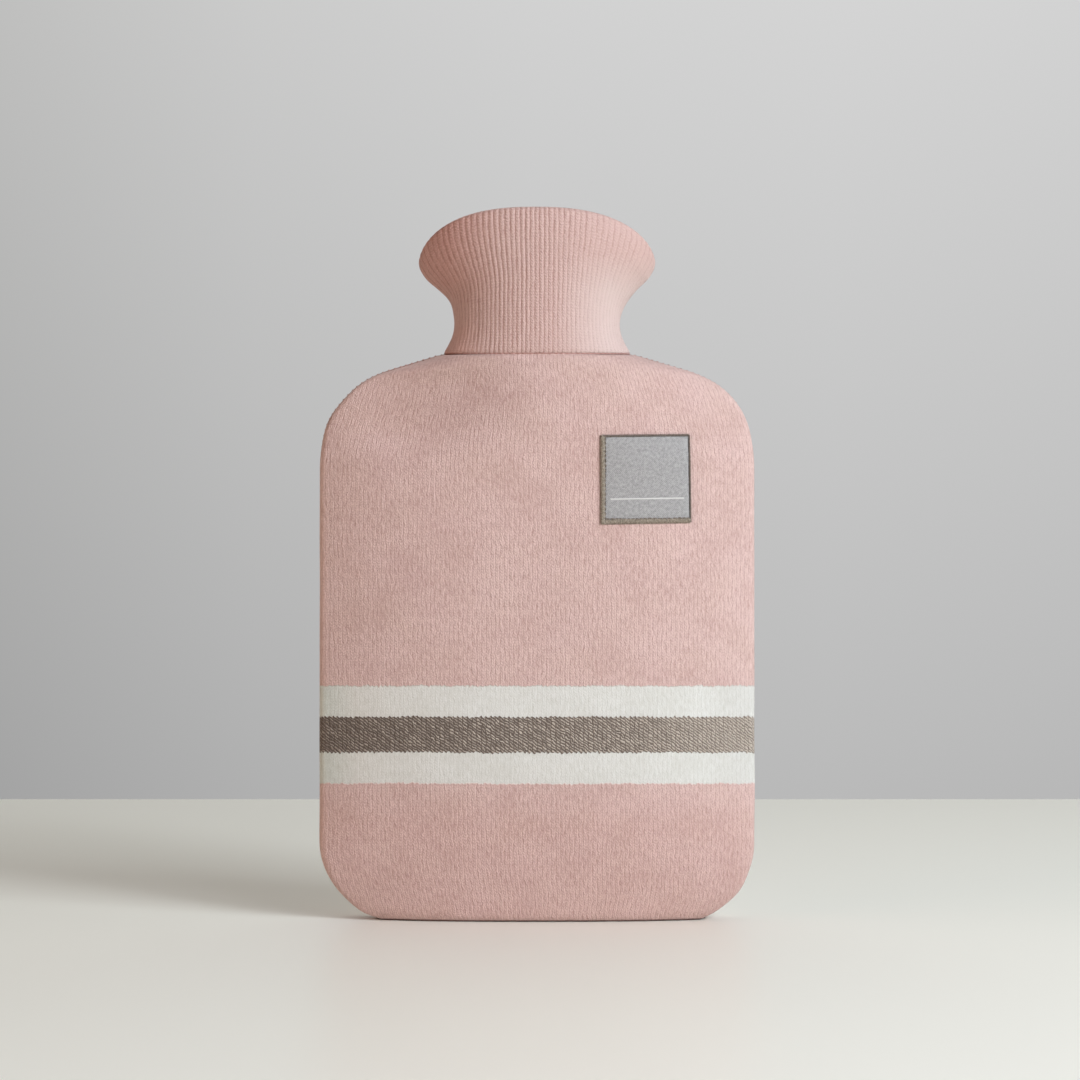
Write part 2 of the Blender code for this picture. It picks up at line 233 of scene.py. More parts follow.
def panel_places(side):
    """The panel's places as rows of columns, and its knit map in millimetres: across its wales
    and up its courses."""
    turn = np.linspace(math.pi, 0, 2401)
    across = np.clip(np.cos(turn), -1, 1)
    share = even_columns()
    rows = [(0.0, s) for s in np.linspace(0, 1, BASE_ROWS, endpoint=False)]
    rows += [(z, 1.0) for z in even_rows(PANEL_ROWS)]
    places, wales = [], []
    for height, out in rows:
        rise = max(0.0, (height - SHOULDER_START) / (seam_height - SHOULDER_START))
        x = body_half_width(height) * across
        y = body_front(x, height)
        x = -side * tucked(-side * x, height)
        run = np.concatenate([[0], np.cumsum(np.hypot(np.diff(x), np.diff(y)))])
        at = share * run[-1]
        lift = -SEAM_DIP * rise**6 * np.interp(at, run, np.abs(np.sin(turn)))
        depth = np.interp(at, run, y) * out
        places.append(np.stack([np.interp(at, run, x), depth, height + lift], axis=1))
        lean = 1 + NECK_LEAN * rise**2
        lean += CORNER_LEAN * max(0.0, 1 - height / CORNER_START) ** 2
        wales.append((share - 0.5) * run[-1] * lean)
    places, wales = np.array(places), np.array(wales)
    places[:, :, 1] = np.maximum(places[:, :, 1], PANEL_GAP / 2)
    courses = run_along(places)
    wall = slice(BASE_ROWS, None)
    level = [
        np.interp(LEVEL_COURSE, places[wall, k, 2], courses[wall, k]) for k in range(PANEL_COLUMNS)
    ]
    courses += LEVEL_COURSE - np.array(level)
    # They hang a little lower at the sides than in the middle.
    aside = np.clip(1 - places[:, :, 1] / (28.3 * MM), 0, 1)
    courses += aside * COURSE_SAG * np.clip(SAG_TOP - places[:, :, 2], -60 * MM, 150 * MM)
    places[:, :, 1] *= side
    if side > 0:
        places[:, :, 0] *= -1
    return places, np.stack([wales, courses], axis=2) / MM


def outward(places):
    """The way out of the cloth at each place."""
    normal = np.cross(np.gradient(places, axis=1), np.gradient(places, axis=0))
    return normal / np.maximum(np.linalg.norm(normal, axis=2, keepdims=True), 1e-9)


def unevenness(places, reach, seed):
    """Slow, soft unevenness of hand-filled cloth, from -1 to 1."""
    flat = places.reshape(-1, 3) / reach
    values = [noise.noise(Vector(p) + Vector((seed, seed, 0))) for p in flat]
    return np.array(values).reshape(places.shape[:2])


def piece_from(name, bm):
    """The finished object from its bmesh."""
    mesh = bpy.data.meshes.new(name)
    bm.to_mesh(mesh)
    bm.free()
    piece = bpy.data.objects.new(name, mesh)
    bpy.context.scene.collection.objects.link(piece)
    return piece


def knit_mesh(name, places, knit_map, weld=0.0):
    """A sheet of cloth from rows of places, with its knit map as its UVs."""
    rows, columns = places.shape[:2]
    bm = bmesh.new()
    bmesh.ops.create_grid(bm, x_segments=columns - 1, y_segments=rows - 1, size=1)
    layer = bm.loops.layers.uv.new("knit")
    spot = {}
    for vertex in bm.verts:
        column = round((vertex.co.x + 1) / 2 * (columns - 1))
        row = round((vertex.co.y + 1) / 2 * (rows - 1))
        spot[vertex] = (row, column)
    for vertex, (row, column) in spot.items():
        vertex.co = places[row, column]
    for face in bm.faces:
        face.smooth = True
        for loop in face.loops:
            loop[layer].uv = knit_map[spot[loop.vert]]
    if weld:
        bmesh.ops.remove_doubles(bm, verts=bm.verts, dist=weld)
    return piece_from(name, bm)


def thicken(piece, thickness):
    """Gives a sheet its thickness, inwards from its outer face."""
    wall = piece.modifiers.new("wall", "SOLIDIFY")
    wall.thickness = thickness
    wall.offset = -1


def panel(name, side):
    """One panel of the body: side is -1 for the front and 1 for the back."""
    places, knit_map = panel_places(side)
    out = outward(places)
    x, z = places[:, :, 0] / MM, places[:, :, 2] / MM
    off_base = np.clip(z / 12, 0, 1) ** 2
    push = UNEVEN_DEPTH * unevenness(places, UNEVEN_REACH, 3 + side) * off_base
    for fold_x, fold_z, reach_x, reach_z, depth in SOFT_FOLDS:
        away = ((x - fold_x) / reach_x) ** 2 + ((z - fold_z) / reach_z) ** 2
        push -= depth * np.exp(-away) * off_base
    push *= MM
    # A sewn edge is drawn in: at the sides, under the base and at the neck.
    from_left = run_along(places, axis=1)
    to_side = np.minimum(from_left, from_left[:, -1:] - from_left)
    from_base = run_along(places)
    to_top = from_base[-1:] - from_base
    push -= SEAM_TUCK * np.exp(-((to_side / TUCK_REACH) ** 2))
    push -= SEAM_TUCK * np.exp(-((to_top / TUCK_REACH) ** 2))
    push += NECK_SWELL * np.exp(-(((to_top - 3.4 * MM) / (2.0 * MM)) ** 2))
    places = places + out * push[:, :, None]
    places[:, :, 2] = np.maximum(places[:, :, 2], 0)
    piece = knit_mesh(name, places, knit_map, weld=0.1 * MM)
    thicken(piece, KNIT_THICKNESS)
    return piece


def linear(colour):
    """An sRGB hex colour as linear red, green, blue and alpha."""
    parts = [int(colour[i : i + 2], 16) / 255 for i in (1, 3, 5)]
    return [p / 12.92 if p <= 0.04045 else ((p + 0.055) / 1.055) ** 2.4 for p in parts] + [1.0]


def fill(node, inputs):
    """Sets a node's inputs. One that is given a node or a socket is linked to it."""
    for key, value in inputs.items():
        if isinstance(value, bpy.types.Node):
            value = next(output for output in value.outputs if output.enabled)
        if isinstance(value, bpy.types.NodeSocket):
            node.id_data.links.new(value, node.inputs[key])
        else:
            node.inputs[key].default_value = value


def add(owner, kind, inputs=None, **settings):
    """Adds a node to a material or to the world, with its settings and inputs."""
    made = owner.node_tree.nodes.new("ShaderNode" + kind)
    for setting, value in settings.items():
        setattr(made, setting, value)
    fill(made, inputs or {})
    return made


def blank(name):
    """A material with only its shader and its output."""
    material = bpy.data.materials.new(name)
    material.use_nodes = True
    return material, material.node_tree.nodes["Principled BSDF"]


SOFT_STEP = {"interpolation_type": "SMOOTHSTEP"}
BLEND = {"data_type": "RGBA"}                               # from one colour to another
TINT = {"data_type": "RGBA", "blend_type": "MULTIPLY"}      # a colour laid over another


# Fine plain knit of dyed wool, washed and lightly felted: its stitches are low and blurred by
# fibre, it has almost no gloss, and its edge against the light has a pale bloom of fibre ends.
WALE = 2.15             # millimetres from one column of stitches to the next
COURSE = 1.42           # and from one row to the next
STITCH_SLANT = 1.7      # how many rows a stitch's legs climb over a wale's width
BAND_MIDDLE = 88.55     # the middle of the stripes, in millimetres up the courses
BAND_HALF = 22.55       # from there to where the cream meets the pink
MARL_HALF = 8.2         # and to where the taupe meets the cream


def knitted_wool():
    material, shader = blank("felted_plain_knit_wool")
    node = partial(add, material)
    where = node("TexCoord").outputs["Object"]
    x, _, z = node("SeparateXYZ", {0: where}).outputs
    # The stitches wander: slow drift of 6 mm and a livelier one of 2 mm.
    place = node("UVMap", uv_map="knit")
    for scale, detail, reach in ((150.0, 2.0, 1.7), (620.0, 1.0, 1.3)):
        drift = node("TexNoise", {"Vector": where, "Scale": scale, "Detail": detail})
        drift = drift.outputs["Color"]
        drift = node("VectorMath", {0: drift, 1: (0.5, 0.5, 0.5)}, operation="SUBTRACT")
        drift = node("VectorMath", {0: drift, "Scale": reach}, operation="SCALE")
        place = node("VectorMath", {0: place, 1: drift}, operation="ADD")
    over, up, _ = node("SeparateXYZ", {0: place}).outputs
    wale = node("Math", {0: over, 1: WALE}, operation="DIVIDE")
    course = node("Math", {0: up, 1: COURSE}, operation="DIVIDE")
    across = node("Math", {0: wale}, operation="FRACT")
    across = node("Math", {0: across, 1: 0.5}, operation="SUBTRACT")
    from_middle = node("Math", {0: across}, operation="ABSOLUTE")
    climb = node("Math", {0: from_middle, 1: -STITCH_SLANT, 2: course}, operation="MULTIPLY_ADD")
    wave = node("Math", {0: climb, 1: 2 * math.pi}, operation="MULTIPLY")
    wave = node("Math", {0: wave}, operation="COSINE")
    leg = node("Math", {0: wave, 1: 0.5, 2: 0.5}, operation="MULTIPLY_ADD")
    # Between two wales lies a groove, and a shallower one down the middle of each. Felting hides
    # the stitches here and there, over 10 to 20 mm.
    groove = node("MapRange", {0: from_middle, 1: 0.5, 2: 0.28, 3: 0.35, 4: 1.0}, **SOFT_STEP)
    middle = node("MapRange", {0: from_middle, 1: 0.0, 2: 0.14, 3: 0.8, 4: 1.0}, **SOFT_STEP)
    felt = node("TexNoise", {"Vector": where, "Scale": 60.0, "Detail": 3.0})
    felt = node("MapRange", {0: felt, 1: 0.3, 2: 0.7, 3: 0.4, 4: 1.0})
    stitch = node("Math", {0: leg, 1: 0.4, 2: 0.6}, operation="MULTIPLY_ADD")
    for share in (groove, middle, felt):
        stitch = node("Math", {0: stitch, 1: share}, operation="MULTIPLY")
    # No two stitches are drawn equally tight: each leg stands out or sinks over about two courses.
    legs_over = node("Math", {0: wale, 1: 2.0}, operation="MULTIPLY")
    legs_up = node("Math", {0: climb, 1: 0.42}, operation="MULTIPLY")
    legs = node("CombineXYZ", {0: legs_over, 1: legs_up})
    tension = node("TexNoise", {"Vector": legs, "Scale": 1.0, "Detail": 1.0})
    stitch = node("Math", {0: tension, 1: 1.5, 2: stitch}, operation="MULTIPLY_ADD")
    # Fibre: tangled ends, real ones under 0.1 mm, drawn 0.6 mm coarse so that they show.
    fibre = node("TexNoise", {"Vector": where, "Scale": 1500.0, "Detail": 3.0, "Roughness": 0.65})
    relief = node("Math", {0: fibre, 1: 0.95, 2: stitch}, operation="MULTIPLY_ADD")

    # Which yarn: the change from one to the next follows the stitches' legs, and shows more
    # where the taupe meets the cream.
    yarns = []
    for tooth, shift, half, edge in ((0.7, 0.17, BAND_HALF, 0.3), (1.5, 0.37, MARL_HALF, 0.15)):
        from_band = node("Math", {0: from_middle, 1: -tooth, 2: up}, operation="MULTIPLY_ADD")
        from_band = node("Math", {0: from_band, 1: BAND_MIDDLE - shift}, operation="SUBTRACT")
        from_band = node("Math", {0: from_band}, operation="ABSOLUTE")
        yarns.append(node("MapRange", {0: from_band, 1: half + edge, 2: half - edge}))
    band, marl = yarns

    # Painted shade: pink and cream yarn are painted a little darker down between the stitches.
    shade = node("MapRange", {0: relief, 1: 0.9, 2: 2.1})
    tone = node("TexNoise", {"Vector": where, "Scale": 45.0, "Detail": 2.0})
    pink = node("Mix", {"Factor": shade, "A": linear("#B29691"), "B": linear("#D5BFBC")}, **BLEND)
    blush = node("Mix", {"Factor": tone, "A": linear("#FFF7F4"), "B": linear("#FAF3EA")}, **BLEND)
    pink = node("Mix", {"Factor": 1.0, "A": pink, "B": blush}, **TINT)
    cream = node("Mix", {"Factor": shade, "A": linear("#C3C2B9"), "B": linear("#D5D5CF")}, **BLEND)
    # Painted shade: the pink is painted deeper low down, and in a spot by the neck's left. The
    # cream is painted a little greyer towards both sides.
    low = node("MapRange", {0: z, 1: 0.066, 2: 0.046})
    spot = node("VectorMath", {0: where, 1: (0.034, 0.0, -0.244)}, operation="ADD")
    spot = node("VectorMath", {0: spot, 1: (20.0, 0.0, 34.0)}, operation="MULTIPLY")
    spot = node("VectorMath", {0: spot}, operation="LENGTH")
    painted_shade_spot = node("MapRange", {0: spot, 1: 1.0, 2: 0.2}, **SOFT_STEP)
    left = node("MapRange", {0: x, 1: -0.084, 2: -0.099})
    right = node("MapRange", {0: x, 1: 0.078, 2: 0.093})
    for share, tint in ((low, "#FCF8F7"), (painted_shade_spot, "#F9F8F8")):
        pink = node("Mix", {"Factor": share, "A": pink, "B": linear(tint)}, **TINT)
    for share, tint in ((left, "#F1F8F6"), (right, "#F7F6F6")):
        cream = node("Mix", {"Factor": share, "A": cream, "B": linear(tint)}, **TINT)

    # The taupe is a marl of a dark and a pale ply: the pale one shows as a short stroke in each
    # stitch, in slanting rows, and as painted light it is darker at the left and paler to the right.
    row = node("Math", {0: wale, 1: course}, operation="ADD")
    wale_number = node("Math", {0: wale}, operation="FLOOR")
    row_number = node("Math", {0: row}, operation="FLOOR")
    cell = node("CombineXYZ", {0: wale_number, 1: row_number})
    ply = node("TexWhiteNoise", {0: cell}, noise_dimensions="2D")
    in_row = node("Math", {0: row}, operation="FRACT")
    in_row = node("Math", {0: in_row, 1: 0.5}, operation="SUBTRACT")
    in_row = node("Math", {0: in_row}, operation="ABSOLUTE")
    stroke = node("MapRange", {0: in_row, 1: 0.42, 2: 0.06}, **SOFT_STEP)
    gap = node("MapRange", {0: from_middle, 1: 0.5, 2: 0.34, 3: 0.1, 4: 1.0}, **SOFT_STEP)
    stroke = node("Math", {0: stroke, 1: gap}, operation="MULTIPLY")
    bright = node("Math", {0: ply, 1: 0.75, 2: 0.4}, operation="MULTIPLY_ADD")
    fleck = node("Math", {0: stroke, 1: bright}, operation="MULTIPLY")
    fleck = node("Math", {0: fibre, 1: 0.5, 2: fleck}, operation="MULTIPLY_ADD")
    # Painted light: darker at the left, paler towards the right.
    paler = node("MapRange", {0: x, 1: -0.1, 2: 0.09, 3: 0.6, 4: 1.4})
    palest = node("MapRange", {0: x, 1: 0.045, 2: 0.09, 4: 0.5})
    paler = node("Math", {0: paler, 1: palest}, operation="ADD")
    fleck = node("Math", {0: fleck, 1: paler}, operation="MULTIPLY")
    fleck = node("MapRange", {0: fleck, 1: 0.2, 2: 1.15})
    taupe = node("Mix", {"Factor": fleck, "A": linear("#5B5048"), "B": linear("#B8ADA0")}, **BLEND)

    # Painted shadow: the lowest 1.2 mm under the base is painted dark, as the shadow where it meets
    # the table. Painted light: the colour is lightened along its left side.
    under = node("MapRange", {0: z, 1: 0.0012, 2: 0.0006})
    colour = pink
    for share, other in ((band, cream), (marl, taupe), (under, linear("#6E4F47"))):
        colour = node("Mix", {"Factor": share, "A": colour, "B": other}, **BLEND)
    # Painted light along the left side.
    painted_edge_light = node("MapRange", {0: x, 1: -0.0975, 2: -0.1008, 3: 1.0, 4: 1.14})
    colour = node("VectorMath", {0: colour, "Scale": painted_edge_light}, operation="SCALE")

    # The cream yarn is softer and fills its stitches, so its relief is lower.
    only_cream = node("Math", {0: band, 1: marl}, operation="SUBTRACT")
    depth = node("MapRange", {0: only_cream, 3: 1.0, 4: 0.45})
    relief = node("Math", {0: relief, 1: depth}, operation="MULTIPLY")
    ridge = node("Math", {0: stroke, 1: marl}, operation="MULTIPLY")
    relief = node("Math", {0: ridge, 1: 0.7, 2: relief}, operation="MULTIPLY_ADD")
    bump = node("Bump", {"Height": relief, "Strength": 1.0, "Distance": 0.24 * MM})
    fill(shader, {
        "Base Color": colour, "Normal": bump, "Roughness": 0.92, "Specular IOR Level": 0.25,
        "Sheen Weight": 0.22, "Sheen Roughness": 0.45, "Sheen Tint": linear("#FFF4F0"),
    })
    return material


plain_knit = knitted_wool()
for name, side, solid in (("front_knit", -1, "front_panel"), ("back_knit", 1, "back_panel")):
    piece = panel(name, side)
    piece.data.materials.append(plain_knit)
    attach(piece, "root")
    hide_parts(solid)


# Neck: a tube of fine rib knit in the same wool, sewn round its lower edge to both panels. It
# narrows to a waist, flares out, and rises higher at front and back than at its sides. Its top
# edge is folded to the inside as a hem.
NECK_COURSES = [  # course, rise at the sides, half width, rise at the front, half depth
    (0, 0.0, 44.3, 0.0, 25.4), (1, 4.6, 41.6, 5.8, 25.8),
    (2, 9.6, 39.6, 12.8, 26.5), (3, 15.4, 39.2, 20.8, 27.4),
    (4, 20.9, 40.8, 28.8, 28.5), (5, 25.9, 43.8, 36.8, 29.9),
    (6, 30.4, 47.6, 44.8, 31.5), (7, 34.9, 52.2, 52.8, 33.1),
    (8, 39.4, 55.1, 59.8, 34.1), (9, 42.6, 55.9, 64.6, 34.3),
]
NECK_FULLNESS = 2.1         # 2 is an oval, more is squarer
RIM_FULLNESS = 2.5          # the same for the arches of its edge at front and back
RIM_NOTCH = 0.12            # and how round the dips between them are
ARCH_LEAN = 0.018           # the arches' tops lie this share of the way to the left side
LEFT_DRAW = 0.036           # the waist is drawn in a little more at its left, as a share,
DRAW_RISE = 25 * MM         # most at this height above the seam
DRAW_REACH = 5.5 * MM
RIBS = 100
RIB_POINTS = 6
RIB_PROFILE = np.array([0.0, 0.08, 0.5, 1.0, 0.5, 0.08])   # from a crest through the groove
RIB_DEPTH = 0.3 * MM
RIB_WANDER = 0.42 * MM
RIB_PITCH = 2.06            # millimetres at the waist
HEM_ROLL = 2.2 * MM
NECK_WALL = 2.5 * MM
NECK_TUCK = 0.35 * MM       # how deep it is drawn in at its seam
WAIST_COURSE = 2.8


def neck_quarter(half_width, half_depth):
    """A quarter of the neck's round, from its front to its side, and the length run along it."""
    turn = np.linspace(0, math.pi / 2, 401)
    x = half_width * np.sin(turn) ** (2 / NECK_FULLNESS)
    y = half_depth * np.abs(np.cos(turn)) ** (2 / NECK_FULLNESS)
    return x, y, run_along(np.stack([x, y], axis=1))


def rim_arch(across):
    """How high the neck's edge arches, from 0 at its sides to 1 at front and back."""
    height = np.sqrt(np.clip(1 - np.minimum(np.abs(across), 1) ** RIM_FULLNESS, 0, 1))
    return (np.hypot(height, RIM_NOTCH) - RIM_NOTCH) / (math.hypot(1, RIM_NOTCH) - RIM_NOTCH)


def neck_ring(course, inset, lift):
    """One ring of places round the neck, from the middle of the front by the right side."""
    side_rise, half_width, front_rise, half_depth = (
        float(smooth_table(NECK_COURSES, course, column)) * MM for column in (1, 2, 3, 4)
    )
    waist = [float(smooth_table(NECK_COURSES, WAIST_COURSE, column)) for column in (2, 4)]
    around_waist = neck_quarter(*waist)[2][-1] * MM
    x, y, run = neck_quarter(half_width - inset, half_depth - inset)
    # The ribs keep the waist's spacing in the middle and spread out towards the sides.
    spacing = min(around_waist / neck_quarter(half_width, half_depth)[2][-1], 1.0)
    share = np.linspace(0, 1, RIBS * RIB_POINTS // 4 + 1)
    along = (spacing * share + (1 - spacing) * share**2) * run[-1]
    x, y = np.interp(along, run, x), np.interp(along, run, y)
    ring_x = np.concatenate([x, x[-2::-1], -x[1:], -x[-2::-1]])
    ring_y = np.concatenate([-y, y[-2::-1], y[1:], -y[-2::-1]])
    across = ring_x / (half_width - inset)
    arch = rim_arch(across + ARCH_LEAN * (1 - across**2))
    rise = front_rise - SEAM_DIP - side_rise
    ring_z = seam_height + PANEL_GAP + side_rise + lift + rise * arch
    drawn = LEFT_DRAW * math.exp(-(((side_rise - DRAW_RISE) / DRAW_REACH) ** 2))
    ring_x = np.where(ring_x < 0, ring_x * (1 - drawn), ring_x)
    return np.stack([ring_x, ring_y, ring_z], axis=1)


# Up the outside, over the rolled edge, down the hem to its end, and down the inside: each row
# with its course, how far in it lies, its lift, and how much the ribs show.
neck_rows = [(course, 0.0, 0.0, 1.0) for course in np.linspace(0, 9, 66)]
for turn in np.linspace(0, math.pi, 11)[1:]:
    neck_rows.append((9, HEM_ROLL * (1 - math.cos(turn)), HEM_ROLL * math.sin(turn), 1.0))
neck_rows += [(course, 2 * HEM_ROLL, 0.0, 1.0) for course in np.linspace(9, 7, 10)[1:]]
neck_rows += [(7, 2 * HEM_ROLL - 0.5 * MM, -0.8 * MM, 0.6)]
neck_rows += [(7, NECK_WALL + 0.4 * MM, -0.9 * MM, 0.3)]
neck_rows += [(course, NECK_WALL, 0.0, 0.3) for course in np.linspace(6.8, 0, 20)]
neck_rows += [(0, NECK_WALL / 2, -0.05 * MM, 0.3)]

ribs_round = np.arange(RIBS * RIB_POINTS + 1) % (RIBS * RIB_POINTS)
profile = RIB_PROFILE[ribs_round % RIB_POINTS]
rib_number = ((ribs_round + RIB_POINTS // 2) // RIB_POINTS) % RIBS
chance = random.Random(7)
rib_strength = np.array([chance.uniform(0.6, 1.25) for _ in range(RIBS)])[rib_number]
places = []
for course, inset, lift, ribbed in neck_rows:
    edge = float(smooth_table(NECK_COURSES, course, 3)) if inset == 0 else 9.0
    tuck = NECK_TUCK * math.exp(-((edge / 1.1) ** 2))
    crest = neck_ring(course, inset + tuck, lift)
    trough = neck_ring(course, inset + tuck + RIB_DEPTH, lift)
    # The ribs are stretched flatter at the waist, and round the neck's right side.
    flatter = (0.6 + 0.4 * course / 9) * (1 - 0.45 * np.clip(crest[:, 0] / (40 * MM), 0, 1))
    places.append(crest + (trough - crest) * (profile * rib_strength * flatter * ribbed)[:, None])
places = np.array(places)
ring_way = np.roll(places[:, :-1], -1, axis=1) - np.roll(places[:, :-1], 1, axis=1)
ring_way = np.concatenate([ring_way, ring_way[:, :1]], axis=1)
ring_way /= np.linalg.norm(ring_way, axis=2, keepdims=True)
# Each rib wanders a little to either side on its way up.
wander = np.array([[
    noise.noise(Vector((rib * 0.45, place[2] / (11 * MM), 5.0)))
    for rib, place in zip(rib_number, row)
] for row in places])
places += ring_way * (wander * RIB_WANDER)[:, :, None]
around = np.arange(RIBS * RIB_POINTS + 1)[None, :] / RIB_POINTS * RIB_PITCH
upward = run_along(places[:, 0])[:, None] / MM
knit_map = np.stack(np.broadcast_arrays(around, upward), axis=2)
places = np.concatenate([places, places[:1]], axis=0)
knit_map = np.concatenate([knit_map, knit_map[-1:] + [0, 1.2]], axis=0)
neck = knit_mesh("ribbed_neck_knit", places, knit_map, weld=0.001 * MM)


def ribbed_wool():
    """The same felted wool in one-and-one rib: raised wales of small stitches, and shaded
    grooves between them."""
    material, shader = blank("felted_rib_knit_wool")
    node = partial(add, material)
    where = node("TexCoord").outputs["Object"]
    x, _, z = node("SeparateXYZ", {0: where}).outputs
    drift = node("TexNoise", {"Vector": where, "Scale": 500.0, "Detail": 2.0})
    drift = node("VectorMath", {0: drift.outputs["Color"], 1: (0.5, 0.5, 0.5)}, operation="SUBTRACT")
    drift = node("VectorMath", {0: drift, "Scale": 1.1}, operation="SCALE")
    place = node("VectorMath", {0: node("UVMap", uv_map="knit"), 1: drift}, operation="ADD")
    over, up, _ = node("SeparateXYZ", {0: place}).outputs
    rib = node("Math", {0: over, 1: RIB_PITCH}, operation="DIVIDE")
    across = node("Math", {0: rib, 1: 0.5}, operation="ADD")
    across = node("Math", {0: across}, operation="FRACT")
    across = node("Math", {0: across, 1: 0.5}, operation="SUBTRACT")
    from_crest = node("Math", {0: across}, operation="ABSOLUTE")
    course = node("Math", {0: up, 1: COURSE}, operation="DIVIDE")
    climb = node("Math", {0: from_crest, 1: -1.3, 2: course}, operation="MULTIPLY_ADD")
    wave = node("Math", {0: climb, 1: 2 * math.pi}, operation="MULTIPLY")
    wave = node("Math", {0: wave}, operation="COSINE")
    leg = node("Math", {0: wave, 1: 0.5, 2: 0.5}, operation="MULTIPLY_ADD")
    crest = node("MapRange", {0: from_crest, 1: 0.5, 2: 0.27}, **SOFT_STEP)
    stitch = node("Math", {0: leg, 1: crest}, operation="MULTIPLY")
    fibre = node("TexNoise", {"Vector": where, "Scale": 1500.0, "Detail": 3.0, "Roughness": 0.65})
    grain = node("TexNoise", {"Vector": where, "Scale": 900.0, "Detail": 3.0, "Roughness": 0.6})
    relief = node("Math", {0: stitch, 1: 0.3, 2: fibre}, operation="MULTIPLY_ADD")
    relief = node("Math", {0: grain, 1: 0.8, 2: relief}, operation="MULTIPLY_ADD")
    bump = node("Bump", {"Height": relief, "Strength": 1.0, "Distance": 0.3 * MM})
    # Painted shade: the colour is painted lighter on raised stitches and darker in the grooves,
    # some grooves more than others, and less so at the neck's right side.
    flatter = node("MapRange", {0: x, 1: -0.01, 2: 0.045, 3: 1.0, 4: 0.35})
    painted_groove_shade = node("Math", {0: 1.0, 1: crest}, operation="SUBTRACT")
    painted_groove_shade = node("Math", {0: painted_groove_shade, 1: flatter}, operation="MULTIPLY")
    groove = node("CombineXYZ", {0: rib, 1: node("Math", {0: up, 1: 0.22}, operation="MULTIPLY")})
    open_groove = node("TexNoise", {"Vector": groove, "Scale": 1.0, "Detail": 2.0})
    open_groove = node("MapRange", {0: open_groove, 1: 0.32, 2: 0.68, 3: 0.25, 4: 1.7})
    painted_groove_shade = node("Math", {0: painted_groove_shade, 1: open_groove}, operation="MULTIPLY")
    shade = node("Math", {0: relief, 1: 0.85, 2: -0.02}, operation="MULTIPLY_ADD")
    shade = node("Math", {0: painted_groove_shade, 1: -0.75, 2: shade}, operation="MULTIPLY_ADD")
    pink = node("Mix", {"Factor": shade, "A": linear("#AE8A81"), "B": linear("#C8A9A1")}, **BLEND)
    # Painted shade and light: it is painted deeper at the left of the flare, paler at the right of
    # the waist as a painted highlight, and a little lighter and redder at its lower left as painted
    # light: x and height that each shows from and to, strength, colour, way.
    for x_from, x_to, from_z, to_z, strength, painted_tone, way in (
        (-0.016, -0.042, 0.281, 0.299, 1.0, "#F5DFDA", TINT),
        (0.008, 0.034, 0.312, 0.294, 0.7, "#CDBAB3", BLEND),
        (-0.024, -0.036, 0.290, 0.275, 0.5, "#DBB1A7", BLEND),
    ):
        beside = node("MapRange", {0: x, 1: x_from, 2: x_to})
        at_height = node("MapRange", {0: z, 1: from_z, 2: to_z, 4: strength})
        share = node("Math", {0: beside, 1: at_height}, operation="MULTIPLY")
        pink = node("Mix", {"Factor": share, "A": pink, "B": linear(painted_tone)}, **way)
    fill(shader, {
        "Base Color": pink, "Normal": bump, "Roughness": 0.62, "Specular IOR Level": 0.6,
        "Sheen Weight": 0.15, "Sheen Roughness": 0.45, "Sheen Tint": linear("#FFF4F0"),
    })
    return material


neck.data.materials.append(ribbed_wool())
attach(neck, "root")
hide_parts("ribbed_neck")


# Neck seam: the two cloths are linked to each other, loop by loop, with the same yarn. It lies a
# little sunk between them and swells at every rib.
SEAM_YARN = 0.62 * MM       # its mean radius
SEAM_SWELL = 0.22           # and how much of that it swells and shrinks
SEAM_SINK = 0.8 * MM
SEAM_HALF_DEPTH = 25.2 * MM


def yarn(bm, track, radii, sides, up):
    """A thread of yarn along a track of places, with its radius at each. It closes on itself
    where its ends meet."""
    track = np.array(track)
    way = np.gradient(track, axis=0)
    if np.allclose(track[0], track[-1], atol=1e-7):
        way[0] = way[-1] = track[1] - track[-2]
    way /= np.linalg.norm(way, axis=1, keepdims=True)
    side = np.cross(way, up)
    side /= np.linalg.norm(side, axis=1, keepdims=True)
    front = np.cross(side, way)
    rows = len(track) - 1
    made = bmesh.ops.create_grid(bm, x_segments=sides, y_segments=rows, size=1)["verts"]
    for vertex in made:
        turn = math.pi * (vertex.co.x + 1)
        row = round((vertex.co.y + 1) / 2 * rows)
        away = math.cos(turn) * side[row] + math.sin(turn) * front[row]
        vertex.co = track[row] + radii[row] * away
    bmesh.ops.remove_doubles(bm, verts=made, dist=1e-7)


def sewing(name, bm, material):
    """One piece of all the threads in bm."""
    bmesh.ops.recalc_face_normals(bm, faces=bm.faces)
    for face in bm.faces:
        face.smooth = True
    piece = piece_from(name, bm)
    piece.data.materials.append(material)
    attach(piece, "root")
    return piece


def thread_material(name, dark, light, twist):
    """Spun thread: pale and dark fibre twisted together, and no gloss. More twist is finer."""
    material, shader = blank(name)
    node = partial(add, material)
    where = node("TexCoord").outputs["Object"]
    fibre = node("TexNoise", {"Vector": where, "Scale": twist, "Detail": 3.0, "Roughness": 0.6})
    fibre = node("MapRange", {0: fibre, 1: 0.3, 2: 0.7})
    colour = node("Mix", {"Factor": fibre, "A": linear(dark), "B": linear(light)}, **BLEND)
    bump = node("Bump", {"Height": fibre, "Strength": 1.0, "Distance": 0.12 * MM})
    fill(shader, {
        "Base Color": colour, "Normal": bump, "Roughness": 0.9, "Specular IOR Level": 0.25,
        "Sheen Weight": 0.15,
    })
    return material


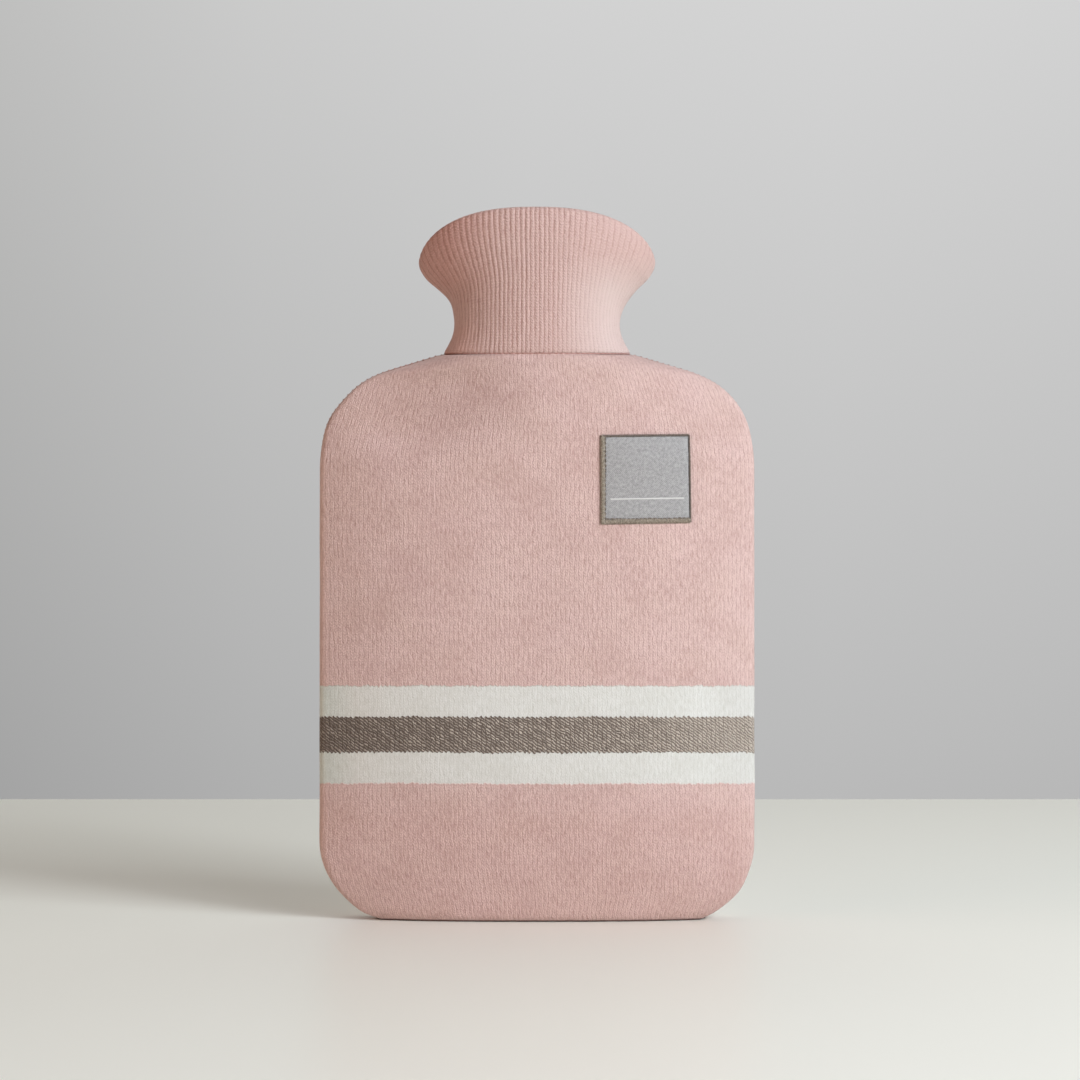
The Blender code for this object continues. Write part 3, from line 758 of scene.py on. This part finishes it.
seam_wool = thread_material("spun_seam_wool", "#9C7369", "#C7A199", 1300.0)
turn = np.linspace(0, 2 * math.pi, RIBS * 6 + 1)
power = 2 / NECK_FULLNESS
seam_x = (SEAM_WIDTH / 2 - SEAM_SINK) * np.sign(np.sin(turn)) * np.abs(np.sin(turn)) ** power
seam_y = -(SEAM_HALF_DEPTH - SEAM_SINK) * np.sign(np.cos(turn)) * np.abs(np.cos(turn)) ** power
seam_z = seam_height + PANEL_GAP / 2 - SEAM_DIP * rim_arch(seam_x / (SEAM_WIDTH / 2))
bm = bmesh.new()
yarn(
    bm, np.stack([seam_x, seam_y, seam_z], axis=1),
    SEAM_YARN * (1 + SEAM_SWELL * np.cos(turn * RIBS)), 6, (0, 0, 1),
)
sewing("neck_seam", bm, seam_wool)


# Side and base seam: the panels are drawn together with a ladder of small stitches, two courses
# apart, over a thread that fills the dip between them.
LADDER_STEP = 2.84 * MM
LADDER_YARN = 0.34 * MM     # its radius
LADDER_END = 0.1 * MM       # its radius where it dips into the cloth
SEAM_THREAD = 0.5 * MM      # the radius of the thread in the dip
SEAM_IN = 0.75 * MM         # how far in from the outline that thread runs

heights = np.concatenate([np.linspace(0, 3 * MM, 6)[:-1], even_rows(110)[2:]])
outline = [(body_half_width(z) - SEAM_IN, max(z, SEAM_IN)) for z in heights]
outline = outline[:-1] + [(outline[-1][0], outline[-1][1] - 0.8 * MM)]
base = [(x, SEAM_IN) for x in np.linspace(-outline[0][0], outline[0][0], 60)[1:-1]]
track = [(-x, 0, z) for x, z in outline[::-1]] + [(x, 0, z) for x, z in base + outline]
track = np.array(track)
track[:, 0] = [tucked(x, z) * (1 - 0.03 * math.exp(-z / (1.5 * MM))) for x, _, z in track]
bm = bmesh.new()
yarn(bm, track, [SEAM_THREAD] * len(track), 6, (0, 1, 0))
run = run_along(track)
way = np.gradient(track, axis=0)
way /= np.linalg.norm(way, axis=1, keepdims=True)
chance = random.Random(11)
at = 2 * MM
while at < run[-1] - 2 * MM:
    place = Vector([np.interp(at, run, track[:, k]) for k in range(3)])
    along = Vector([np.interp(at, run, way[:, k]) for k in range(3)]).normalized()
    out = Vector((along.z, 0, -along.x))
    if place.z > 1.2 * MM:
        rung = []
        for over, proud in ((-1.7, -0.35), (-1.0, 0.43), (0, 0.61), (1.0, 0.43), (1.7, -0.35)):
            rung.append(place + (out * proud + Vector((0, over, 0)) + along * over * 0.12) * MM)
        yarn(bm, rung, [LADDER_END, LADDER_YARN, LADDER_YARN, LADDER_YARN, LADDER_END], 6, along)
    at += LADDER_STEP * chance.uniform(0.9, 1.1)
sewing("side_seam", bm, seam_wool)


# Label: a square of satin-woven grey tape with a plain white rule woven in. It was sewn on by
# hand, so it isn't quite square with the knit.
LABEL_CORNERS = (  # the top's left and right, then the bottom's, in mm
    (29.4, 227.2), (71.3, 227.9), (29.5, 185.9), (71.9, 186.6),
)
LABEL_SIZE = (41.9, 41.0)
LABEL_EDGE = 1.3            # where it begins at the left and below
LABEL_NARROW = 0.5          # and how near the edging's outer side it ends at the top and right
LABEL_CLOTH = 0.45 * MM
LABEL_STEPS = 34
RULE_MIDDLE = (21.6, 11.38) # in mm from the label's lower left corner
RULE_HALF = 17.2            # half its length

bm = bmesh.new()
bm.from_mesh(bpy.data.objects["front_knit"].data)
knit_front = BVHTree.FromBMesh(bm)
bm.free()


def on_label(across, up, lift):
    """A place on the label: millimetres from its lower left corner, and its lift off the knit."""
    s, t = across / LABEL_SIZE[0], up / LABEL_SIZE[1]
    top_left, top_right, low_left, low_right = (Vector(corner) for corner in LABEL_CORNERS)
    flat = low_left.lerp(low_right, s).lerp(top_left.lerp(top_right, s), t) * MM
    knit = knit_front.ray_cast(Vector((flat.x, -0.1, flat.y)), Vector((0, 1, 0)))[0]
    return knit - Vector((0, lift * MM, 0))


# The tape lies flat on the knit, with its edges drawn down and a slight ripple.
label_right, label_top = (size - LABEL_NARROW for size in LABEL_SIZE)
label_map = np.array([
    [(across, up) for across in np.linspace(LABEL_EDGE, label_right, LABEL_STEPS)]
    for up in np.linspace(LABEL_EDGE, label_top, LABEL_STEPS)
])
label_places = np.zeros((LABEL_STEPS, LABEL_STEPS, 3))
for spot in np.ndindex(LABEL_STEPS, LABEL_STEPS):
    across, up = label_map[spot]
    rim = min(across - LABEL_EDGE, up - LABEL_EDGE, label_right - across, label_top - up)
    ripple = noise.noise(Vector((across / 9, up / 9, 3.0)))
    label_places[spot] = on_label(across, up, 0.72 - 0.3 * math.exp(-rim / 1.2) + 0.07 * ripple)
label = knit_mesh("label_tape", label_places, label_map)
thicken(label, LABEL_CLOTH)


def satin_tape():
    """Satin weave in grey polyester: fine slanting lines, drawn 0.9 mm apart rather than 0.3 mm
    so that they show, and a rule of white weft floats."""
    material, shader = blank("satin_woven_polyester_tape")
    node = partial(add, material)
    tape = node("UVMap", uv_map="knit")
    across, up, _ = node("SeparateXYZ", {0: tape}).outputs
    wobble = node("TexNoise", {"Vector": tape, "Scale": 0.9, "Detail": 2.0})
    slant = node("Math", {0: across, 1: up}, operation="SUBTRACT")
    slant = node("Math", {0: wobble, 1: 1.1, 2: slant}, operation="MULTIPLY_ADD")
    lines = node("Math", {0: slant, 1: 2 * math.pi / 0.95}, operation="MULTIPLY")
    lines = node("Math", {0: lines}, operation="COSINE")
    floats = node("TexNoise", {"Vector": tape, "Scale": 2.4, "Detail": 3.0, "Roughness": 0.7})
    mottle = node("TexNoise", {"Vector": tape, "Scale": 0.7, "Detail": 2.0})
    weave = node("Math", {0: lines, 1: 0.12, 2: floats}, operation="MULTIPLY_ADD")
    weave = node("Math", {0: mottle, 1: 0.8, 2: weave}, operation="MULTIPLY_ADD")
    shade = node("MapRange", {0: weave, 1: 0.6, 2: 1.2})
    grey = node("Mix", {"Factor": shade, "A": linear("#838281"), "B": linear("#AFAEAC")}, **BLEND)
    # The rule, with ends and edges a thread rough.
    rough = node("Math", {0: floats, 1: 0.35, 2: -0.17}, operation="MULTIPLY_ADD")
    above = node("Math", {0: up, 1: RULE_MIDDLE[1]}, operation="SUBTRACT")
    above = node("Math", {0: above}, operation="ABSOLUTE")
    above = node("Math", {0: above, 1: rough}, operation="ADD")
    aside = node("Math", {0: across, 1: RULE_MIDDLE[0]}, operation="SUBTRACT")
    aside = node("Math", {0: aside}, operation="ABSOLUTE")
    thick = node("MapRange", {0: above, 1: 0.46, 2: 0.16})
    long = node("MapRange", {0: aside, 1: RULE_HALF, 2: RULE_HALF - 0.3})
    rule = node("Math", {0: thick, 1: long}, operation="MULTIPLY")
    colour = node("Mix", {"Factor": rule, "A": grey, "B": linear("#CBCAC6")}, **BLEND)
    height = node("Math", {0: rule, 1: 0.8, 2: weave}, operation="MULTIPLY_ADD")
    bump = node("Bump", {"Height": height, "Strength": 1.0, "Distance": 0.12 * MM})
    fill(shader, {
        "Base Color": colour, "Normal": bump, "Roughness": 0.62, "Specular IOR Level": 0.35,
    })
    return material


label.data.materials.append(satin_tape())
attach(label, "root")
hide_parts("label")


# Label edging: taupe thread whipped over the tape's edge, close together. It reaches further in
# at the left and below, where a row of dark stitches follows it, dark partly as a painted
# shadow along its inner side; at the top and right it is narrow and of dark thread, partly a
# painted shadow along those edges.
EDGING_REACHES = (2.0, 0.6, 0.9, 2.1)   # below, right, top and left, in mm
EDGING_STEP = 0.6           # real threads are 0.4 mm apart; these are a little coarser
WHIP_YARN = 0.33 * MM
NARROW_YARN = 0.75          # the threads of the narrow sides, as a share of that
taupe_thread = thread_material("taupe_whipping_thread", "#756A5B", "#B4AA9A", 1700.0)
# Dark thread, partly a painted shadow line along the edging.
dark_thread_and_shadow = thread_material("dark_brown_thread_and_painted_shadow", "#5E534B", "#958A7F", 1700.0)


def edge_place(side, along, inward, lift):
    """A place by one of the label's sides: 0 is below, then right, top and left."""
    width, height = LABEL_SIZE
    across, up = (
        (along, inward), (width - inward, along),
        (width - along, height - inward), (inward, height - along),
    )[side]
    return on_label(across, up, lift)


chance = random.Random(5)
pale, dark = bmesh.new(), bmesh.new()
for side, reach in enumerate(EDGING_REACHES):
    length = LABEL_SIZE[side % 2]
    broad = side in (0, 3)
    threads = pale if broad else dark
    core = [edge_place(side, along, reach / 2, 0.5) for along in np.linspace(0.5, length - 0.5, 24)]
    yarn(threads, core, [0.2 * MM] + [0.42 * reach / 2 * MM] * 22 + [0.2 * MM], 6, (0, 1, 0))
    count = int((length - 0.6) / EDGING_STEP)
    for i in range(count):
        along = 0.3 + (length - 0.6) * (i + 0.5) / count + chance.uniform(-0.08, 0.08)
        far = reach * chance.uniform(0.93, 1.08)
        arc = []
        for share, lift in ((-0.1, 0.1), (0.12, 0.72), (0.5, 1.02), (0.88, 0.86), (1.05, 0.45)):
            slanted = along + 0.45 * (share - 0.5)
            arc.append(edge_place(side, slanted, share * far, lift * chance.uniform(0.94, 1.06)))
        thick = WHIP_YARN * chance.uniform(0.85, 1.15) * (1 if broad else NARROW_YARN)
        yarn(threads, arc, [0.5 * thick, thick, thick, thick, 0.5 * thick], 5, (0, 1, 0))
    if broad:
        at = 1.0
        while at < length - 1.6:
            step = chance.uniform(1.3, 2.1)
            line = [
                edge_place(side, at + share * step, reach + 0.25 + 0.12 * math.sin(3 * at), lift)
                for share, lift in ((0, 0.5), (0.2, 0.88), (0.5, 0.95), (0.8, 0.88), (1, 0.5))
            ]
            yarn(dark, line, [0.08 * MM, 0.24 * MM, 0.26 * MM, 0.24 * MM, 0.08 * MM], 5, (0, 1, 0))
            at += step + chance.uniform(0.2, 0.6)
for name, threads, thread in (
    ("label_whipping", pale, taupe_thread), ("label_stitching", dark, dark_thread_and_shadow),
):
    piece = sewing(name, threads, thread)
    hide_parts("label_edging")


# Tabletop and backdrop: a pale lacquered board whose far edge shows as a level line, and grey
# paper well behind it. They are the room, not part of the cover.
TABLE_SIZE = (7, 3.4, 30 * MM)
TABLE_FAR_EDGE = 595 * MM
PAPER_SIZE = (10, 5)
PAPER_PLACE = (0, 2.6, 0.6)

bm = bmesh.new()
bmesh.ops.create_cube(bm, size=1)
bmesh.ops.scale(bm, vec=TABLE_SIZE, verts=bm.verts)
middle = (0, TABLE_FAR_EDGE - TABLE_SIZE[1] / 2, -TABLE_SIZE[2] / 2)
bmesh.ops.translate(bm, vec=middle, verts=bm.verts)
tabletop = piece_from("tabletop", bm)
lacquer, shader = blank("pale_satin_lacquer")
fill(shader, {"Base Color": linear("#F5F6EC"), "Roughness": 0.38, "Specular IOR Level": 0.4})
tabletop.data.materials.append(lacquer)

bm = bmesh.new()
bmesh.ops.create_grid(bm, x_segments=1, y_segments=1, size=0.5)
upright = Matrix.Rotation(math.pi / 2, 3, "X")
bmesh.ops.rotate(bm, cent=(0, 0, 0), matrix=upright, verts=bm.verts)
bmesh.ops.scale(bm, vec=(PAPER_SIZE[0], 1, PAPER_SIZE[1]), verts=bm.verts)
bmesh.ops.translate(bm, vec=PAPER_PLACE, verts=bm.verts)
backdrop = piece_from("backdrop", bm)
# The paper is not lit but glows by itself, as painted light, brighter upwards and to the right.
paper, shader = blank("grey_backdrop_paper")
node = partial(add, paper)
x, _, z = node("SeparateXYZ", {0: node("TexCoord").outputs["Object"]}).outputs
along = node("MapRange", {0: x, 1: -0.77, 2: 0.77})
up = node("MapRange", {0: z, 1: -0.2, 2: 0.94})
glow = node("ValToRGB", {"Fac": along})
stops = glow.color_ramp.elements
for stop, (at, share) in enumerate(((0, 0), (0.24, 0.53), (0.5, 0.86), (0.77, 1), (1, 0.92))):
    if stop > 1:
        stops.new(at)
    stops[stop].position = at
    stops[stop].color = (share, share, share, 1)
low = node("Mix", {"Factor": glow, "A": linear("#A3A3A3"), "B": linear("#B9B9B9")}, **BLEND)
high = node("Mix", {"Factor": glow, "A": linear("#BFBFBE"), "B": linear("#D4D4D4")}, **BLEND)
tone = node("Mix", {"Factor": up, "A": low, "B": high}, **BLEND)
fill(shader, {
    "Base Color": linear("#000000"), "Roughness": 1.0, "Specular IOR Level": 0.0,
    "Emission Color": tone, "Emission Strength": 1.0,
})
backdrop.data.materials.append(paper)


# Lights: a large soft window to the right and somewhat in front, in two parts, a warm wall to
# the left, and a pale ceiling. The room looks pale grey from every side, and adds little light.
def area_light(name, place, target, size, power, colour):
    data = bpy.data.lights.new(name, "AREA")
    data.shape = "RECTANGLE"
    data.size, data.size_y = size
    data.energy = power
    data.color = linear(colour)[:3]
    light = bpy.data.objects.new(name, data)
    light.location = place
    light.rotation_euler = (Vector(target) - Vector(place)).to_track_quat("-Z", "Y").to_euler()
    bpy.context.scene.collection.objects.link(light)


COVER = (0, 0, 0.15)
area_light("window", (1.55, -1.2, 1.15), COVER, (1.0, 1.0), 39, "#F2F8FF")
area_light("window_low", (1.15, -1.6, 0.8), COVER, (1.0, 1.0), 17.5, "#F8F6FF")
area_light("warm_wall", (-1.8, -0.9, 0.6), COVER, (1.6, 1.0), 10.8, "#FFD0B6")
area_light("ceiling", (0.1, 0.9, 2.1), (0.1, 0.6, 0), (2.6, 2.0), 12.5, "#FFFCF2")

room = bpy.data.worlds.new("room")
room.use_nodes = True
seen = add(room, "LightPath").outputs["Is Camera Ray"]
strength = add(room, "Math", {0: seen, 1: 0.98, 2: 0.02}, operation="MULTIPLY_ADD")
fill(room.node_tree.nodes["Background"], {"Color": linear("#BFC0C1"), "Strength": strength})
bpy.context.scene.world = room
